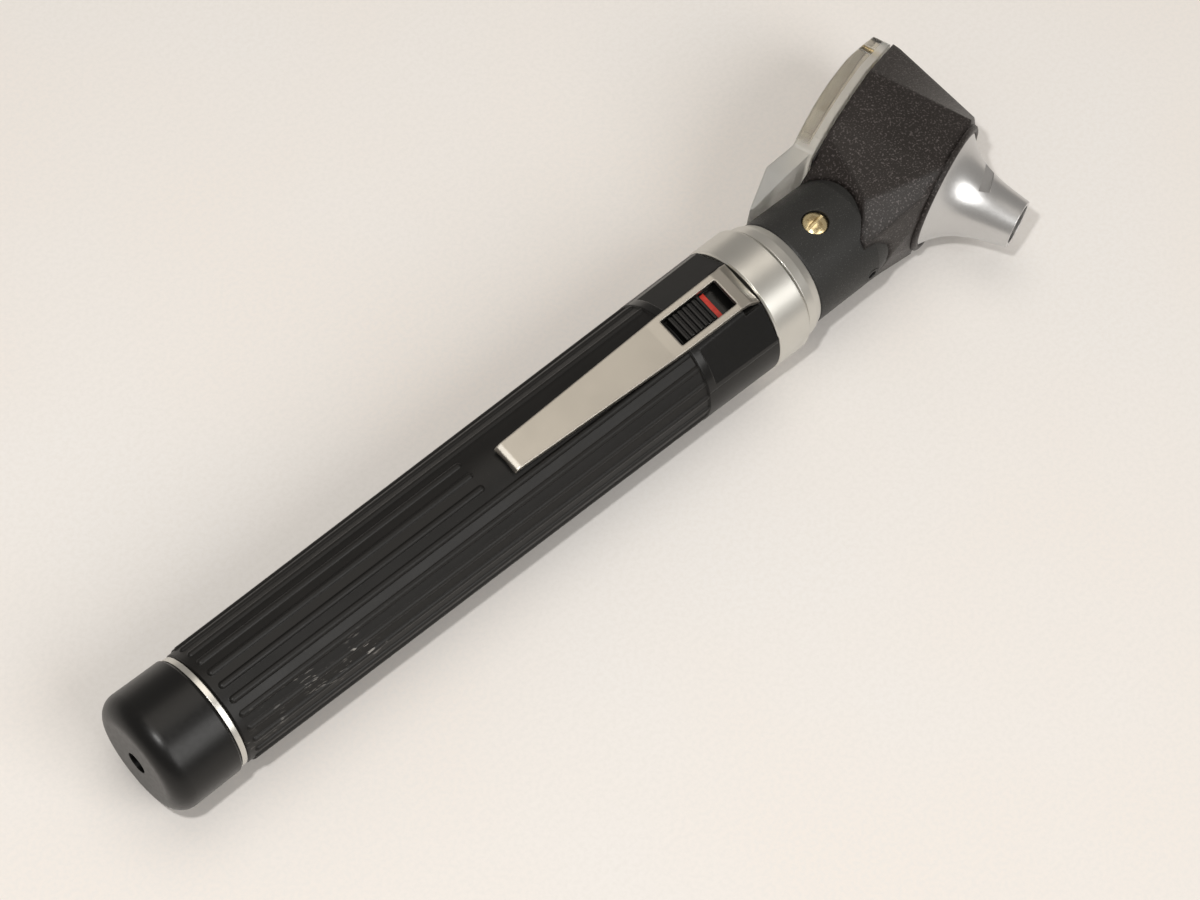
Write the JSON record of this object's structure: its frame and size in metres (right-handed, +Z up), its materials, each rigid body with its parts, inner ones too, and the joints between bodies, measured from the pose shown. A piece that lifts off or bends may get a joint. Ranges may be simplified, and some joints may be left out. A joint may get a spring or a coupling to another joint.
{
  "type": "otoscope",
  "caption": "Pocket otoscope lying on its side: ribbed battery handle with clip and slide switch, and an angled head with a metal speculum cone and a swivelling window.",
  "frame": {"origin": "middle of the bounding box, on the plane the otoscope lies on", "axes": "+X along the handle towards the head, -Y the way the speculum points (about 18 degrees off), +Z up, across the head"},
  "size_m": [0.1564, 0.0382, 0.0217],
  "materials": {
    "grip": "fine matt moulded plastic",
    "gloss_black": "smooth moulded plastic",
    "head_black": "fine spark-eroded grain",
    "neck_black": "satin",
    "satin_aluminium": "satin turned",
    "clip_steel": "satin with bright edges",
    "brass": "bright",
    "red_mark": "matt",
    "clear_acrylic": "polished, frosted sides",
    "bulb_glass": "clear",
    "cell_can": "plated can",
    "cell_sleeve": "plain sleeve",
    "spring_steel": "nickel plated",
    "insulator": "moulded",
    "fibre": "polished fibre ends",
    "seal": "soft matt"
  },
  "bodies": {
    "handle": {"handle_tube": "grip", "switch_housing": "gloss_black", "switch_mark": "red_mark", "collar": "satin_aluminium", "rear_cell": "cell_can", "rear_cell_sleeve": "cell_sleeve", "front_cell": "cell_can", "front_cell_sleeve": "cell_sleeve"},
    "cap_spring_set": {"spring_disc": "spring_steel", "battery_spring": "spring_steel"},
    "end_cap": {"end_cap": "gloss_black", "cap_ring": "satin_aluminium"},
    "clip": {"clip": "clip_steel"},
    "slider": {"switch_slider": "gloss_black", "switch_contact": "brass"},
    "lamp": {"lamp_base": "brass", "lamp_bulb": "bulb_glass", "lamp_filament": "spring_steel", "lamp_contact": "brass", "lamp_insulator": "insulator"},
    "head": {"connector": "satin_aluminium", "neck_shell": "neck_black", "lamp_screw": "brass", "insufflation_port": "neck_black", "head_housing": "head_black", "light_guide": "fibre", "retainer_ring": "head_black", "speculum_cone": "satin_aluminium", "window_pivot": "brass", "window_seal": "seal"},
    "window": {"window_plate": "clear_acrylic"}
  },
  "joints": [
    {"name": "cap_travel", "type": "slide", "parent": "handle", "child": "cap_spring_set", "axis": [-1, 0, 0], "range_m": [0, 0.00562]},
    {"name": "cap_turn", "type": "hinge", "parent": "cap_spring_set", "child": "end_cap", "pos_m": [-0.07271, -0.00169, 0.0103], "axis": [-1, 0, 0], "range_deg": [0, 1620]},
    {"name": "head_travel", "type": "slide", "parent": "handle", "child": "lamp", "axis": [1, 0, 0], "range_m": [0, 0.00325]},
    {"name": "head_turn", "type": "hinge", "parent": "lamp", "child": "head", "pos_m": [0.03504, -0.00169, 0.0103], "axis": [1, 0, 0], "range_deg": [0, 1170]},
    {"name": "window_swivel", "type": "hinge", "parent": "head", "child": "window", "pos_m": [0.07457, 0.01564, 0.0103], "axis": [0.3173, -0.9483, 0], "range_deg": [-70, 70]},
    {"name": "clip_flex", "type": "hinge", "parent": "handle", "child": "clip", "pos_m": [0.02794, -0.00271, 0.01985], "axis": [0, 0.9943, 0.1063], "range_deg": [0, 4], "stiffness_Nm_per_rad": 1.5},
    {"name": "switch_slide", "type": "slide", "parent": "handle", "child": "slider", "axis": [1, 0, 0], "range_m": [0, 0.00285]}
  ],
  "couplings": [
    {"joint": "cap_turn", "follows": "cap_travel", "rad_per_m": 5026.5},
    {"joint": "head_turn", "follows": "head_travel", "rad_per_m": 6283.2}
  ]
}
